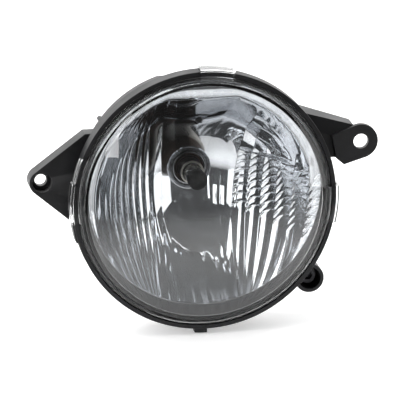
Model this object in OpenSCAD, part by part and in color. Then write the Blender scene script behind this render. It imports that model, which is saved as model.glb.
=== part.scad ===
// Round fog light: a black moulded housing with two mounting ears and an aim adjuster,
// a clear domed lens glued into its rim, a bright reflector screwed in from behind,
// and a black-tipped halogen bulb on a quarter-turn base.
// Origin: on the rim's axis, in the plane of the rim's front edge. -Y points out of the
// lens, +Z up, +X to the right seen from the front. A depth is a distance along +Y.

/* [Rim and lens] */
// Outer diameter of the round rim
rim_d = 164; // [140:0.4:198]
// Depth of the rim, from its front edge to its back
rim_depth = 10.5; // [9:0.5:14]
// Wall of the rim's outer lip
lip_wall = 2.7; // [2:0.1:3.5]
// Width of the glue channel behind the lip
channel_w = 2.4; // [2.2:0.1:3]
// Wall between the glue channel and the reflector
channel_wall = 2; // [1.5:0.1:2.5]
// Width of the band from the rim's edge to the lens dome
band_w = 6.6; // [6:0.1:9]
// Height of the lens dome above its shoulder
dome_h = 9; // [5:0.5:16]
// How far the dome's shoulder stands in front of the rim
shoulder_h = 3; // [2:0.5:5]
// Thickness of the lens
lens_t = 2.8; // [2:0.1:3.2]
// How far the lens tabs stand out from the rim
tab_out = 2; // [1.5:0.1:3]
// How far the lens tabs reach back over the rim
tab_depth = 8; // [5:0.5:9]

/* [Housing] */
// Outer diameter of the drum behind the rim
drum_d = 145.2; // [120:1:150]
// Height of the flat on top of the drum above the axis
drum_flat = 69; // [60:0.5:72]
// Depth at which the drum ends and the cone begins
drum_end = 45; // [38:1:52]
// Outer diameter of the rear plate
rear_d = 92; // [86:1:110]
// Wall of the drum, cone and rear plate
wall = 2.5; // [2:0.1:3.5]
// Number of ribs on the cone
rib_count = 8; // [4:1:12]

/* [Left ear] */
// Distance of the left hole from the axis, to the left
left_hole_x = 98.6; // [94:0.2:112]
// Height of the left hole
left_hole_z = 12.5; // [0:0.5:24]
// Diameter of the left hole
left_hole_d = 7.5; // [5:0.1:9]
// Diameter of the counterbore in front of the left hole
left_counterbore_d = 12.2; // [10:0.1:13]
// Depth of that counterbore
left_counterbore_h = 7; // [3:0.5:9]
// Depth of the left ear's front face
left_ear_y = 15; // [12:0.5:20]
// Thickness of the left ear
left_ear_t = 12; // [8:0.5:16]
// Radius of the left ear's tip
left_tip_r = 8; // [7.5:0.1:11]

/* [Right ear] */
// Distance of the right hole from the axis, to the right
right_hole_x = 101.3; // [97:0.1:112]
// Height of the right hole
right_hole_z = 28.2; // [22:0.1:34]
// Diameter of the right hole
right_hole_d = 9.4; // [6:0.1:11]
// Depth of the right ear's front face
right_ear_y = 18; // [14:0.5:22]
// Thickness of the right ear
right_ear_t = 4; // [3:0.1:6]
// Radius of the right ear's tip
right_tip_r = 10.8; // [9:0.1:13]

/* [Bulb] */
// Height of the bulb's axis above the rim's axis
bulb_z = 6; // [0:0.5:8]
// Depth of the front face of the bulb's base
bulb_seat_y = 58.3; // [56:0.1:60]
// Diameter of the bulb's glass tube
glass_d = 11.8; // [9.8:0.02:14.2]
// Length of the glass in front of the base
glass_l = 33.4; // [30:0.1:36]
// Length of the black cap on the tip
cap_l = 5.8; // [4:0.1:7]
// Diameter of the bulb's shaft in the bayonet plate
shaft_d = 20.3; // [16.9:0.1:24.4]
// Turn from locked to free, in degrees
unlock_turn = 45; // [35:1:48]

/* [Reflector] */
// Focal length of the reflector
focal_l = 24; // [23:0.5:25]
// Thickness of the reflector
reflector_t = 1.6; // [1.2:0.1:2]
// Gap between the bulb's base and the edge of the reflector's hole
reflector_hole_gap = 0.6; // [0.3:0.1:1]

/* [Aim adjuster] */
// Place of the adjuster, to the right
adjuster_x = 70.2; // [66:0.2:78]
// Place of the adjuster, below the axis
adjuster_z = 60; // [56:0.2:68]
// Outer diameter of the adjuster tower
tower_d = 18.4; // [17:0.1:21]
// Inner diameter of the tower's cups
cup_d = 13.8; // [13:0.1:15]
// Depth of the tower's open front end
tower_y = 22; // [18:1:26]
// Thread diameter of the adjusting screw
thread_d = 6; // [5:0.1:7.2]
// Travel of the ball nut to each side of its middle
nut_travel = 6; // [3:0.5:8]

/* [Hidden] */
$fn = 96;

// Clearances: a running fit, a loose gap, and the overlap that joins two solids
fit = 0.05;
gap = 0.3;
join = 0.5;

// Rim, from the lip inwards
rim_r = rim_d / 2;
lip_r = rim_r - lip_wall;
channel_r = lip_r - channel_w;
seat_r = channel_r - channel_wall;
channel_end = rim_depth - wall;
lens_ledge_y = 3.2;
seat_wall_y = lens_ledge_y + gap;

// Lens
shoulder_r = rim_r - band_w;
flange_y = 0.6;
leg_end = channel_end - 2;
leg_r = lip_r - gap;
leg_in_r = channel_r + gap;
flange_in_r = shoulder_r + 1.6;
lens_in_r = shoulder_r - lens_t + 0.2;
lens_ledge_r = seat_r - gap;
dome_r = (shoulder_r * shoulder_r + dome_h * dome_h) / (2 * dome_h);
dome_centre = dome_r - dome_h - shoulder_h;
dome_in_r = dome_r - lens_t;

// Drum, cone and rear plate
drum_r = drum_d / 2;
rear_r = rear_d / 2;
plate_y = bulb_seat_y + 4;
plate_t = 3;
plate_back = plate_y + plate_t;

// Bayonet: lugs on the bulb turn in front of the housing's plate
shaft_r = shaft_d / 2;
bayonet_r = shaft_r + fit;
lug_r = shaft_r + 2.7;
lug_t = 2;
lug_angle = 26;
lug_count = 3;
stop_y = plate_y - lug_t - gap;
neck_bore_r = lug_r + 0.6;
neck_r = neck_bore_r + wall;
neck_end = plate_back + 4.7;
o_ring_wire_r = 1.4;
o_ring_r = neck_bore_r - fit - o_ring_wire_r;
groove_r = o_ring_r - o_ring_wire_r;

// Bulb: the clamp takes a third of the room between the glass and the shaft
glass_r = glass_d / 2;
glass_tip = bulb_seat_y - glass_l;
glass_wall = 1;
cap_t = 0.25;
clamp_r = glass_r + (shaft_r - glass_r) / 3;
clamp_t = 0.5;
clamp_front = bulb_seat_y - 13.3;
ring_front = bulb_seat_y - 3.5;
filament_y = bulb_seat_y - 23.7;
filament_l = 5;
filament_r = 0.75;
wire_r = 0.35;
wire_x = 3;
bridge_y = clamp_front - 3;
bridge_r = 1.1;
pinch_w = 2 * glass_r - 1;
pinch_t = 4.6;

// Bulb base and its connector socket, which points down
nose_r = shaft_r - 0.9;
ring_flange_r = nose_r - gap;
flange_back = neck_end + gap + 2.7;
base_back = flange_back + 15;
socket_w = 24;
socket_t = 15;
socket_wall = 2.2;
socket_top = 8;
socket_bottom = 38;
socket_floor = 20;
socket_y = flange_back + 7.5;
blade_w = 2.8;
blade_t = 0.8;
blade_pitch = 8;

// Reflector: a paraboloid about the bulb's axis, cut to the round rim
vertex_y = bulb_seat_y + 0.3;
reflector_front = seat_wall_y;
reflector_r = drum_r - wall - gap;
reflector_flange_back = channel_end - gap;
post_r = 4;
post_place = 34;
post_angles = [30, 150, 270];
pilot_r = 1.6;
pilot_l = 9;
peg_x = 4.4;
peg_z = bulb_z + 33;
peg_r = 2;
collar_r = 13.5;
collar_front = vertex_y - 2.6;
collar_back = stop_y - gap;

// Vent
vent_x = 27;
vent_z = -24;
vent_r = 4.5;
vent_bore_r = 2.6;
vent_l = 8;
vent_cap_r = 7.5;

// Adjuster, along its own axis
tower_r = tower_d / 2;
cup_r = cup_d / 2;
floor_y = tower_y + 12;
floor_t = 4;
tower_end = floor_y + floor_t + 6;
thread_r = thread_d / 2;
bush_r = thread_r + 1.2;
bush_flange_t = 1;
head_r = thread_r + 2;
head_h = 5;
hex_r = 2.9;
hex_h = 4;
head_back = floor_y - bush_flange_t - fit;
nut_front = tower_end + nut_travel + 10;
nut_body_r = thread_r + 2.6;
nut_body_l = 8;
ball_r = thread_r + 3.5;
ball_y = nut_front + nut_body_l + 6;
nut_back = ball_y + ball_r - 0.6;
screw_end = nut_back + nut_travel + 3;

plastic = "#26262a";
clear = [0.85, 0.9, 0.95, 0.35];
bright = "#c9ccd1";
steel = "#9a9ca0";

// ---- shared shapes ----

// A straight round bar along Y from depth y0 to y1, centred at (x, z)
module bar(r, y0, y1, x = 0, z = 0) {
    translate([x, y0, z]) rotate([-90, 0, 0]) cylinder(r = r, h = y1 - y0);
}

// A cone along Y from radius r0 at depth y0 to radius r1 at depth y1
module taper(r0, r1, y0, y1) {
    translate([0, y0, 0]) rotate([-90, 0, 0]) cylinder(r1 = r0, r2 = r1, h = y1 - y0);
}

// A round tube along Y
module tube(r_out, r_in, y0, y1, x = 0, z = 0) {
    difference() {
        bar(r_out, y0, y1, x, z);
        bar(r_in, y0 - 1, y1 + 1, x, z);
    }
}

// A plate with a front-view outline (x, z), from depth y0 to y1
module plate(y0, y1) {
    translate([0, y1, 0]) rotate([90, 0, 0]) linear_extrude(height = y1 - y0) children();
}

// A profile (distance from the axis, depth) swept from front-view angle a0 to a1,
// counter-clockwise from +X
module sweep(a0, a1) {
    rotate([90, 0, 0]) rotate([0, 0, a0]) rotate_extrude(angle = a1 - a0) mirror([0, 1]) children();
}

// Part of a ring between two radii and two depths
module arc_block(r_in, r_out, y0, y1, a0, a1) {
    sweep(a0, a1) translate([r_in, y0]) square([r_out - r_in, y1 - y0]);
}

// Where the line from point p touches the circle (c, r); side is 1 or -1
function touch(p, c, r, side) =
    let (d = p - c, l = norm(d), a = atan2(d[1], d[0]) + side * acos(r / l))
    c + r * [cos(a), sin(a)];

// A flat outline that runs from a root polygon out to a round tip
module ear_outline(upper, lower, root, tip, r) {
    polygon(concat(root, [lower, touch(lower, tip, r, -1), tip, touch(upper, tip, r, 1), upper]));
    translate(tip) circle(r = r);
}

// ---- housing ----

module below_flat(z) {
    intersection() {
        children();
        translate([-rim_d, -rim_d, -rim_d]) cube([2 * rim_d, 2 * rim_d, rim_d + z]);
    }
}

module housing_body() {
    bar(rim_r, 0, rim_depth);
    below_flat(drum_flat) {
        union() {
            bar(drum_r, rim_depth - join, drum_end);
            taper(drum_r, rear_r, drum_end, plate_y);
            bar(rear_r, plate_y - join, plate_back);
        }
    }
}

module housing_cavity() {
    difference() {
        bar(lip_r, -1, channel_end);
        bar(channel_r, seat_wall_y, channel_end + 1);
    }
    bar(seat_r, -2, channel_end);
    below_flat(drum_flat - wall) {
        union() {
            bar(drum_r - wall, channel_end - join, drum_end);
            taper(drum_r - wall, rear_r - wall, drum_end, plate_y);
        }
    }
}

module cone_ribs() {
    rib_h = 2;
    rib_t = 2;
    step = 360 / rib_count;
    for (i = [0 : rib_count - 1]) {
        rotate([0, step * (i + 0.5), 0]) translate([0, 0, -rib_t / 2]) linear_extrude(height = rib_t)
            polygon([
                [rear_r - 20, plate_back - join], [rear_r - 20, plate_back + rib_h],
                [rear_r, plate_back + rib_h], [drum_r - 4, drum_end + rib_h],
                [drum_r - 4, drum_end - join], [rear_r - wall / 2, plate_back - wall]
            ]);
    }
}

module left_ear() {
    tip = [-left_hole_x, left_hole_z];
    root_x = -drum_r + 14;
    top = [-drum_r + 0.6, left_hole_z + 29.8];
    bottom = [-drum_r - 6, left_hole_z - 27.6];
    plate(left_ear_y, left_ear_y + left_ear_t)
        ear_outline(top, bottom, [[root_x, top[1]], [root_x, bottom[1]]], tip, left_tip_r);
}

// The hollow moulded into the back of the left ear
module left_ear_core() {
    root_x = -drum_r - 1;
    plate(left_ear_y + wall, left_ear_y + left_ear_t + 1)
        polygon([
            [root_x, left_hole_z + 27], [-left_hole_x + 12, left_hole_z + 13],
            [-left_hole_x + 12, left_hole_z - 8], [root_x, left_hole_z - 22]
        ]);
}

module right_ear() {
    tip = [right_hole_x, right_hole_z];
    corner = [right_hole_x - 18.5, right_hole_z + 4.2];
    upper = touch(corner, tip, right_tip_r, -1);
    heel = [right_hole_x - 10.6, right_hole_z - 14.5];
    inner = [right_hole_x - 15.6, right_hole_z - 10.2];
    back = right_ear_y + right_ear_t;
    root_x = drum_r * 0.8;
    plate(right_ear_y, back) {
        polygon([corner, inner, heel, touch(heel, tip, right_tip_r, 1), tip, upper]);
        translate(tip) circle(r = right_tip_r);
    }
    plate(back - 1, back + wall)
        polygon([corner, [root_x, corner[1] + 6], [root_x, inner[1]], inner]);
    hull() {
        plate(back - 1, back + 13) polygon([corner, upper, upper - [0.8, 3], corner - [-1, 3]]);
        plate(back, drum_end)
            polygon([
                [root_x - 2, corner[1] + 17.6], [root_x + 2, corner[1] + 16.4],
                [root_x + 2, corner[1] + 12], [root_x - 2, corner[1] + 13]
            ]);
    }
}

module adjuster_tower() {
    reach = norm([adjuster_x, adjuster_z]);
    bar(tower_r, tower_y, tower_end, adjuster_x, -adjuster_z);
    rotate([0, atan2(adjuster_z, adjuster_x), 0])
        translate([drum_r - 8, tower_y + 4, -tower_r / 2])
        cube([reach - drum_r + 4, tower_end - tower_y - 6, tower_r]);
}

module tower_bores() {
    bar(cup_r, tower_y - 1, floor_y, adjuster_x, -adjuster_z);
    bar(bush_r, floor_y - 1, floor_y + floor_t + 1, adjuster_x, -adjuster_z);
    bar(cup_r, floor_y + floor_t, tower_end + 1, adjuster_x, -adjuster_z);
}

// Small ribs and a fin on the outside, which place the lamp in its opening
module locating_ribs() {
    arc_block(lip_r, rim_r + 2.8, 1, 7, 265.5, 270.9);
    arc_block(lip_r, rim_r + 1.2, 1, rim_depth, 187.6, 196.1);
    rotate([0, -141.7, 0]) {
        translate([drum_r - 3, 20, -1.6]) cube([7.8, 10, 3.2]);
        translate([drum_r + 4.8, 20, 0]) rotate([-90, 0, 0]) cylinder(r = 1.6, h = 10);
    }
}

module bayonet_holes() {
    translate([0, 0, bulb_z]) {
        bar(bayonet_r, stop_y - 1, plate_back + 1);
        bar(neck_bore_r, plate_back, neck_end + 1);
        for (i = [0 : lug_count - 1]) {
            a = i * 360 / lug_count - unlock_turn;
            arc_block(shaft_r - 1, lug_r + gap, plate_y - 1, plate_back + 1,
                a - lug_angle / 2 - 1, a + lug_angle / 2 + 1);
        }
    }
}

// Stops on the plate's front, between a lug's free place and the next lug's locked place
module bayonet_stops() {
    for (i = [0 : lug_count - 1]) {
        a = i * 360 / lug_count;
        translate([0, 0, bulb_z])
            arc_block(bayonet_r + 0.2, lug_r + 1, stop_y, plate_y + join,
                a + lug_angle / 2 + 2, a + 360 / lug_count - unlock_turn - lug_angle / 2 - 2);
    }
}

module housing() {
    color(plastic) {
        difference() {
            union() {
                housing_body();
                cone_ribs();
                left_ear();
                right_ear();
                adjuster_tower();
                locating_ribs();
                bar(neck_r, plate_y, neck_end, 0, bulb_z);
                bar(vent_r, plate_y, plate_back + vent_l, vent_x, vent_z);
            }
            housing_cavity();
            left_ear_core();
            bar(left_counterbore_d / 2, left_ear_y - 1, left_ear_y + left_counterbore_h,
                -left_hole_x, left_hole_z);
            bar(left_hole_d / 2, left_ear_y, left_ear_y + left_ear_t + 1, -left_hole_x, left_hole_z);
            bar(right_hole_d / 2, right_ear_y - 1, right_ear_y + right_ear_t + 1,
                right_hole_x, right_hole_z);
            tower_bores();
            bayonet_holes();
            for (a = post_angles)
                bar(pilot_r + fit * 4, plate_y - 1, plate_back + 1,
                    post_place * cos(a), bulb_z + post_place * sin(a));
            bar(vent_bore_r, plate_y - 1, plate_back + vent_l + 1, vent_x, vent_z);
        }
        bayonet_stops();
        bar(peg_r, paraboloid(norm([peg_x, peg_z - bulb_z])) + 0.6, plate_y + join, peg_x, peg_z);
    }
}

// ---- lens and its glue ----

// A clip that hooks over the rim's lip between two front-view angles
module lens_tab(a0, a1, depth) {
    root_r = leg_r - 1.4;
    tab_r = rim_r + tab_out;
    top_y = -1.4;
    sweep(a0, a1) polygon([
        [root_r, flange_y + join], [root_r, top_y], [tab_r, top_y], [tab_r, depth],
        [rim_r + gap / 2, depth], [rim_r + gap / 2, -gap / 2], [leg_r - gap, -gap / 2],
        [leg_r - gap, flange_y + join]
    ]);
}

// Points of the dome's arc of radius r, from a distance r0 off the axis to r1
function dome_arc(r, r0, r1, steps = 16) =
    [for (i = [0 : steps]) let (x = r0 + (r1 - r0) * i / steps) [x, dome_centre - sqrt(r * r - x * x)]];

module lens() {
    color(clear) {
        rotate([-90, 0, 0]) rotate_extrude()
            polygon(concat(
                dome_arc(dome_r, 0, shoulder_r),
                [[flange_in_r, flange_y], [leg_r, flange_y], [leg_r, leg_end], [leg_in_r, leg_end]],
                [[leg_in_r, lens_ledge_y], [lens_ledge_r, lens_ledge_y]],
                dome_arc(dome_in_r, lens_in_r, 0)
            ));
        lens_tab(77.4, 92.3, tab_depth);
        lens_tab(-12.2, 4.1, tab_depth);
        lens_tab(169.8, 187.2, tab_depth);
        lens_tab(157.9, 169.4, tab_depth / 3);
    }
}

module lens_sealant() {
    color("#3a3a3c") tube(lip_r, channel_r, leg_end, channel_end);
}

// ---- reflector ----

// Depth of the bright surface at a distance r from the bulb's axis
function paraboloid(r) = vertex_y - r * r / (4 * focal_l);

// The space in front of a paraboloid that is set back by t
module bowl(t) {
    steps = 24;
    reach = drum_r + bulb_z;
    translate([0, 0, bulb_z]) rotate([-90, 0, 0]) rotate_extrude()
        polygon(concat(
            [[0, -rim_d / 4]],
            [[reach, -rim_d / 4]],
            [for (i = [steps : -1 : 0]) let (r = reach * i / steps) [r, paraboloid(r) + t]]
        ));
}

module reflector_posts() {
    for (a = post_angles)
        bar(post_r, paraboloid(post_place) + reflector_t / 2, plate_y,
            post_place * cos(a), bulb_z + post_place * sin(a));
}

// The bowl opens onto a shelf in the flange, where it meets the drum before its own edge
module reflector() {
    shelf_y = reflector_flange_back - reflector_t;
    reflector_lip = 0.8;
    color(bright) difference() {
        union() {
            below_flat(drum_flat - wall - gap) intersection() {
                bowl(reflector_t);
                bar(reflector_r, reflector_flange_back - join, plate_y);
            }
            bar(lens_ledge_r, reflector_front, reflector_flange_back);
            bar(collar_r, collar_front, collar_back, 0, bulb_z);
            reflector_posts();
        }
        difference() {
            intersection() {
                bowl(0);
                union() {
                    below_flat(drum_flat - wall - gap - reflector_t)
                        bar(reflector_r - reflector_t, shelf_y - 1, plate_y);
                    bar(lens_ledge_r - reflector_lip, reflector_front - 1, shelf_y);
                }
            }
            bar(collar_r, collar_front, collar_back, 0, bulb_z);
        }
        bar(nose_r + reflector_hole_gap, collar_front - 1, plate_y, 0, bulb_z);
        bar(peg_r + gap, 0, plate_y, peg_x, peg_z);
        for (a = post_angles)
            bar(pilot_r, plate_y - pilot_l, plate_y + 1,
                post_place * cos(a), bulb_z + post_place * sin(a));
    }
}

module reflector_screws() {
    color(steel) for (a = post_angles)
        translate([post_place * cos(a), 0, bulb_z + post_place * sin(a)]) {
            bar(pilot_r, plate_y - pilot_l + 1, plate_back);
            difference() {
                bar(3.8, plate_back, plate_back + 2.4);
                translate([-2.4, plate_back + 1.2, -0.5]) cube([4.8, 2, 1]);
                translate([-0.5, plate_back + 1.2, -2.4]) cube([1, 2, 4.8]);
            }
        }
}

// ---- bulb ----

module at_bulb() {
    translate([0, 0, bulb_z]) children();
}

// The two supports of the filament: a long one to its front end, a short one to its back
module wires_shape() {
    front = filament_y - filament_l / 2;
    back = filament_y + filament_l / 2;
    bar(wire_r, front - wire_r, bulb_seat_y - 1, wire_x, 0);
    bar(wire_r, back - wire_r, bulb_seat_y - 1, -wire_x, 0);
    translate([0, front - wire_r, 0]) rotate([0, 90, 0]) cylinder(r = wire_r, h = wire_x);
    translate([-wire_x, back + wire_r, 0]) rotate([0, 90, 0]) cylinder(r = wire_r, h = wire_x);
}

module bulb_glass() {
    color(clear) at_bulb() difference() {
        union() {
            intersection() {
                bar(glass_r, glass_tip, clamp_front + 2);
                translate([0, glass_tip + glass_d, 0]) union() {
                    sphere(r = glass_d);
                    bar(glass_d, 0, glass_l);
                }
            }
            translate([-pinch_w / 2, clamp_front + 1, -pinch_t / 2])
                cube([pinch_w, bulb_seat_y - clamp_front - 1, pinch_t]);
        }
        bar(glass_r - glass_wall, glass_tip + 2.5, clamp_front);
        wires_shape();
    }
}

module bulb_black_cap() {
    color("#1b1b1c") at_bulb() difference() {
        intersection() {
            bar(glass_r + cap_t, glass_tip - cap_t, glass_tip + cap_l);
            translate([0, glass_tip + glass_d, 0]) union() {
                sphere(r = glass_d + cap_t);
                bar(glass_d + cap_t, 0, glass_l);
            }
        }
        intersection() {
            bar(glass_r, glass_tip, glass_tip + cap_l + 1);
            translate([0, glass_tip + glass_d, 0]) union() {
                sphere(r = glass_d);
                bar(glass_d, 0, glass_l);
            }
        }
    }
}

module bulb_filament() {
    color("#b9b2a4") at_bulb()
        bar(filament_r, filament_y - filament_l / 2, filament_y + filament_l / 2);
}

module bulb_lead_wires() {
    color(steel) at_bulb() wires_shape();
}

module bulb_bridge() {
    color(clear) at_bulb() difference() {
        translate([-wire_x - 1, bridge_y, 0]) rotate([0, 90, 0])
            cylinder(r = bridge_r, h = 2 * wire_x + 2);
        wires_shape();
    }
}

module bulb_clamp() {
    color("#b7b8ba") at_bulb() tube(clamp_r, clamp_r - clamp_t, clamp_front, bulb_seat_y);
}

module bulb_metal_ring() {
    color("#a5a6a8") at_bulb() {
        tube(clamp_r + clamp_t, clamp_r, ring_front, bulb_seat_y);
        tube(ring_flange_r, clamp_r, bulb_seat_y - 1, bulb_seat_y);
    }
}

module bulb_lugs() {
    for (i = [0 : lug_count - 1]) {
        a = i * 360 / lug_count;
        arc_block(shaft_r - 1.5, lug_r, plate_y - gap - lug_t, plate_y - gap,
            a - lug_angle / 2, a + lug_angle / 2);
    }
}

module socket_shell() {
    difference() {
        translate([-socket_w / 2, socket_y - socket_t / 2, -socket_bottom])
            cube([socket_w, socket_t, socket_bottom + socket_top]);
        translate([-socket_w / 2 + socket_wall, socket_y - socket_t / 2 + socket_wall, -socket_bottom - 1])
            cube([socket_w - 2 * socket_wall, socket_t - 2 * socket_wall, socket_bottom - socket_floor + 1]);
    }
}

// Catch for the harness plug's latch, on the socket's rear face
module socket_catch() {
    translate([-4, socket_y + socket_t / 2 - join, -socket_floor - 9]) cube([8, 2.2, 3]);
}

module blades_shape() {
    for (side = [-1, 1])
        translate([side * blade_pitch / 2 - blade_w / 2, socket_y - blade_t / 2, -socket_bottom + 4])
            cube([blade_w, blade_t, socket_bottom - 8]);
}

module bulb_base() {
    color("#2a2320") at_bulb() difference() {
        union() {
            bar(nose_r, bulb_seat_y, plate_y - gap);
            bulb_lugs();
            bar(shaft_r, plate_y - gap - join, plate_back + join);
            bar(groove_r, plate_back + fit, plate_back + 2 * o_ring_wire_r + 0.2);
            bar(neck_bore_r - gap, plate_back + 2 * o_ring_wire_r + 0.2, neck_end + gap);
            bar(neck_r + 1.2, neck_end + gap, flange_back);
            bar(neck_bore_r, flange_back - join, base_back);
            socket_shell();
            socket_catch();
        }
        blades_shape();
    }
}

module bulb_o_ring() {
    color("#5b4a3c") at_bulb() translate([0, plate_back + o_ring_wire_r + 0.1, 0])
        rotate([-90, 0, 0]) rotate_extrude() translate([o_ring_r, 0]) circle(r = o_ring_wire_r);
}

module bulb_terminals() {
    color(steel) at_bulb() blades_shape();
}

// ---- vent ----

module vent_cap() {
    color("#1e1e20") difference() {
        bar(vent_cap_r, plate_back + 2, plate_back + vent_l + 4, vent_x, vent_z);
        bar(vent_r, plate_back + 1, plate_back + vent_l + 0.6, vent_x, vent_z);
        for (a = [0, 90])
            translate([vent_x, plate_back + 3.4, vent_z]) rotate([0, a, 0])
                translate([-vent_cap_r - 1, -2.4, -0.8]) cube([2 * vent_cap_r + 2, 3, 1.6]);
    }
}

module vent_membrane() {
    color("#d9d9d6") bar(vent_r, plate_back + vent_l, plate_back + vent_l + 0.5, vent_x, vent_z);
}

// ---- aim adjuster ----

module at_adjuster() {
    translate([adjuster_x, 0, -adjuster_z]) children();
}

module adjuster_screw() {
    color("#b3b08f") at_adjuster() {
        difference() {
            bar(head_r, head_back - head_h, head_back);
            translate([0, head_back - head_h - 1, 0]) rotate([-90, 0, 0])
                cylinder(r = hex_r, h = hex_h, $fn = 6);
        }
        bar(thread_r, head_back - join, screw_end);
    }
}

module adjuster_bushing() {
    color("#d8d5c8") at_adjuster() {
        tube(bush_r + 1.4, thread_r + fit, floor_y - bush_flange_t, floor_y);
        tube(bush_r, thread_r + fit, floor_y - join, floor_y + floor_t);
    }
}

module adjuster_retainer() {
    color(steel) at_adjuster()
        tube(thread_r + 2.6, thread_r, floor_y + floor_t + gap, floor_y + floor_t + gap + 0.8);
}

module adjuster_ball_nut() {
    bore_r = thread_r + fit;
    color("#e4e1d6") at_adjuster() {
        difference() {
            translate([0, nut_front, 0]) rotate([-90, 0, 0])
                cylinder(r = nut_body_r, h = nut_body_l, $fn = 6);
            bar(bore_r, nut_front - 1, nut_back);
        }
        tube(thread_r + 1.8, bore_r, nut_front + nut_body_l - join, ball_y);
        translate([0, ball_y, 0]) rotate([-90, 0, 0]) rotate_extrude() intersection() {
            circle(r = ball_r);
            translate([bore_r, -ball_r]) square([ball_r, ball_r + nut_back - ball_y]);
        }
    }
}

housing();
lens();
lens_sealant();
reflector();
reflector_screws();
bulb_base();
bulb_metal_ring();
bulb_clamp();
bulb_glass();
bulb_black_cap();
bulb_filament();
bulb_lead_wires();
bulb_bridge();
bulb_o_ring();
bulb_terminals();
vent_cap();
vent_membrane();
adjuster_screw();
adjuster_bushing();
adjuster_retainer();
adjuster_ball_nut();
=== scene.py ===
import math

import bmesh
import bpy
import numpy as np
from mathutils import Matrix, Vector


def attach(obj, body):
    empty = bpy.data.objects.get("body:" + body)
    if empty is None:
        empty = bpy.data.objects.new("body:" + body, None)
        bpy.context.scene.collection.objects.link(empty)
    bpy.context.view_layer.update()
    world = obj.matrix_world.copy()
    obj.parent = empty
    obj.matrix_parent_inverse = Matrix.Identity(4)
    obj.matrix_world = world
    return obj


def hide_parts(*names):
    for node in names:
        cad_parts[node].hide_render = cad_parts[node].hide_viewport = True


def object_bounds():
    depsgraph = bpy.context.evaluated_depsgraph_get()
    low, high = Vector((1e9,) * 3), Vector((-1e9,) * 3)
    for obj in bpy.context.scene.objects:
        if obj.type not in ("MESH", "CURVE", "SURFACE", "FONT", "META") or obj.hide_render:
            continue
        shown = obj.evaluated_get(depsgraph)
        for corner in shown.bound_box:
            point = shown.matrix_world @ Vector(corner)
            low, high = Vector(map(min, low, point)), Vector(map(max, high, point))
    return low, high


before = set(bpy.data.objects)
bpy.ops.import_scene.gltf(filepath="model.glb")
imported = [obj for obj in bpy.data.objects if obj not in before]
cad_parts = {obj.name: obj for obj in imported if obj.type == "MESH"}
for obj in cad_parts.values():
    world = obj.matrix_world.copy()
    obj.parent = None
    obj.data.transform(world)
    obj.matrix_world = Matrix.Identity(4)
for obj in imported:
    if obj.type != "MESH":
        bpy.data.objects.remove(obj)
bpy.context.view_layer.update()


# ---------------------------------------------------------------- housing
# The housing is one black moulding of glass-filled nylon: round rim, drum, cone, two ears,
# the adjuster tower and small ribs. It is injection moulded with a fine spark-eroded grain,
# so its edges are softened a little and its sheen is broad and uneven.
MM = 0.001
HOUSING_EDGE = 0.35
CREASE = math.radians(32)
FLAT = math.radians(0.15)
SAME_POINT = 0.004


def linear(code):
    """An sRGB colour '#rrggbb' as linear light: each part c is c / 12.92 up to 0.04045, and past it
    ((c + 0.055) / 1.055) ^ 2.4."""
    shown = np.array([int(code[i:i + 2], 16) for i in (1, 3, 5)]) / 255
    light = np.where(shown <= 0.04045, shown / 12.92, ((shown + 0.055) / 1.055) ** 2.4)
    return (*light.tolist(), 1.0)


def add(tree, kind, inputs=None, **settings):
    """Adds one shader node. An input that is another node's output is linked, any other is set."""
    node = tree.nodes.new("ShaderNode" + kind)
    for name, value in settings.items():
        setattr(node, name, value)
    for socket, value in (inputs or {}).items():
        if isinstance(value, bpy.types.NodeSocket):
            tree.links.new(value, node.inputs[socket])
        else:
            node.inputs[socket].default_value = value
    return node


def bare(name, **plain):
    """A new material with one Principled surface, whose own sockets hold the plain values. It gives back the
    material, its tree, that surface and Object coordinates."""
    material = bpy.data.materials.new(name)
    material.use_nodes = True
    tree = material.node_tree
    tree.nodes.clear()
    sockets = {key.replace("_", " "): value for key, value in plain.items()}
    surface = add(tree, "BsdfPrincipled", sockets)
    add(tree, "OutputMaterial", {"Surface": surface.outputs[0]})
    place = add(tree, "TexCoord").outputs["Object"]
    return material, tree, surface, place


def patches(tree, place, size_mm, low, high, detail=3.0):
    """Noise with features of size_mm. Its middle part, 0.3 to 0.7, is spread over the values low to high."""
    noise = add(tree, "TexNoise", {"Vector": place, "Scale": 1 / (size_mm * MM), "Detail": detail})
    spread = {"Value": noise.outputs["Fac"], "From Min": 0.3, "From Max": 0.7, "To Min": low, "To Max": high}
    return add(tree, "MapRange", spread).outputs["Result"]


def emboss(tree, surface, place, size_mm, depth_mm, strength):
    """Gives a surface a fine relief of this depth with features of size_mm."""
    height = patches(tree, place, size_mm, 0, 1, 2.0)
    bump = add(tree, "Bump", {"Height": height, "Strength": strength, "Distance": depth_mm * MM})
    tree.links.new(bump.outputs["Normal"], surface.inputs["Normal"])


def finish(name, colours, colour_mm, rough, rough_mm, grain=None, detail=(3.0, 3.0), **plain):
    """A material whose colour runs between two colours in patches of colour_mm, and its roughness between
    two values in patches of rough_mm. grain is a relief: its size and depth in millimetres, and its
    strength. detail holds how fine the two kinds of patches are."""
    material, tree, surface, place = bare(name, **plain)
    factor = patches(tree, place, colour_mm, 0, 1, detail[0])
    ends = {0: factor, 6: linear(colours[0]), 7: linear(colours[1])}
    tree.links.new(add(tree, "Mix", ends, data_type="RGBA").outputs[2], surface.inputs["Base Color"])
    tree.links.new(patches(tree, place, rough_mm, *rough, detail[1]), surface.inputs["Roughness"])
    if grain:
        emboss(tree, surface, place, *grain)
    return material


def moulded_black(name, colours, rough):
    """Black moulded plastic: flow marks 9 mm across in colour and 14 mm in sheen, and pits 0.5 mm across."""
    return finish(name, colours, 9, rough, 14, (0.5, 0.012, 0.6), (5, 4), IOR=1.52, Specular_IOR_Level=0.3)


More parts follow.
